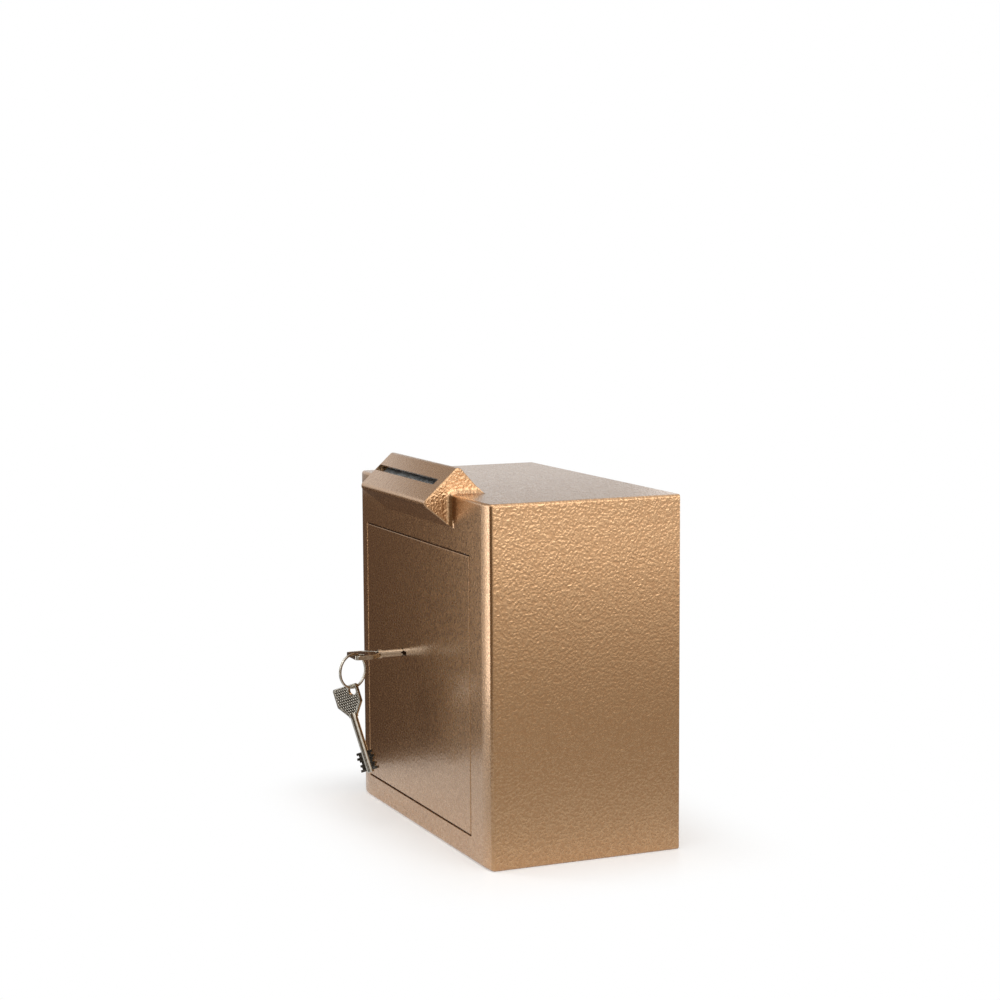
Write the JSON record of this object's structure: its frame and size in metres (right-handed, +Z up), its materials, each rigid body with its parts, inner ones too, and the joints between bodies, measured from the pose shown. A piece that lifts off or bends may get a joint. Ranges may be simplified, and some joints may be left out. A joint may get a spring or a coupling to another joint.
{
  "type": "donation safe",
  "caption": "Square steel donation safe with a slotted deposit hood across its top front edge, a flush door with a lever lock, and its keys on a ring.",
  "frame": {"origin": "centre of the footprint, on the face that stands on the floor", "axes": "+X to the right of someone facing the door, +Y from the door to the back panel, +Z up"},
  "size_m": [0.35, 0.2754, 0.3757],
  "materials": {
    "bronze_coat": "hammered bronze powder coat",
    "zinc_sheet": "galvanised",
    "steel": "bright drawn",
    "brass": "stamped",
    "nickel": "nickel plated"
  },
  "bodies": {
    "casing": {"shell": "bronze_coat", "back_panel": "bronze_coat", "door_stop": "bronze_coat", "pivot_bushes": "steel", "hood_cover": "bronze_coat", "hood_end_left": "bronze_coat", "hood_end_right": "bronze_coat", "hood_seam_left": "bronze_coat", "hood_seam_right": "bronze_coat", "slot_baffle": "zinc_sheet", "throat_baffle": "zinc_sheet"},
    "door": {"door_leaf": "bronze_coat", "pivot_pins": "steel", "lock_case": "zinc_sheet", "lock_cover": "zinc_sheet", "lever_post": "steel", "bolt_guide": "steel", "mechanism_cover": "zinc_sheet", "cover_screws": "zinc_sheet", "lock_screws": "zinc_sheet"},
    "lever_pack": {"levers": "brass"},
    "boltwork": {"lock_bolt": "steel", "bolt_bar": "steel", "locking_bolts": "steel"},
    "key": {"lock_key": "nickel", "curtain": "steel"},
    "ring": {"key_ring": "nickel"},
    "spare": {"spare_key": "nickel"}
  },
  "joints": [
    {"name": "door_swing", "type": "hinge", "parent": "casing", "child": "door", "pos_m": [0.1053, -0.094, 0.16], "axis": [0, 0, 1], "range_deg": [0, 105]},
    {"name": "key_turn", "type": "hinge", "parent": "door", "child": "key", "pos_m": [-0.0543, -0.1, 0.1733], "axis": [0, 1, 0], "range_deg": [0, 180]},
    {"name": "bolt_slide", "type": "slide", "parent": "door", "child": "boltwork", "axis": [-1, 0, 0], "range_m": [0, 0.015]},
    {"name": "lever_lift", "type": "hinge", "parent": "door", "child": "lever_pack", "pos_m": [-0.0273, -0.0742, 0.1733], "axis": [0, 1, 0], "range_deg": [0, 3], "stiffness_Nm_per_rad": 0.4, "springref_deg": -2.86},
    {"name": "ring_swing", "type": "hinge", "parent": "key", "child": "ring", "pos_m": [-0.0458, -0.149, 0.1733], "axis": [-0.9272, -0.3746, 0], "range_deg": [0, 96]},
    {"name": "spare_swing", "type": "hinge", "parent": "ring", "child": "spare", "pos_m": [-0.04201, -0.15837, 0.16044], "axis": [-0.9272, -0.3746, 0], "range_deg": [-20, 66]}
  ],
  "couplings": [
    {"joint": "bolt_slide", "follows": "key_turn", "m_per_rad": 0.004774}
  ]
}
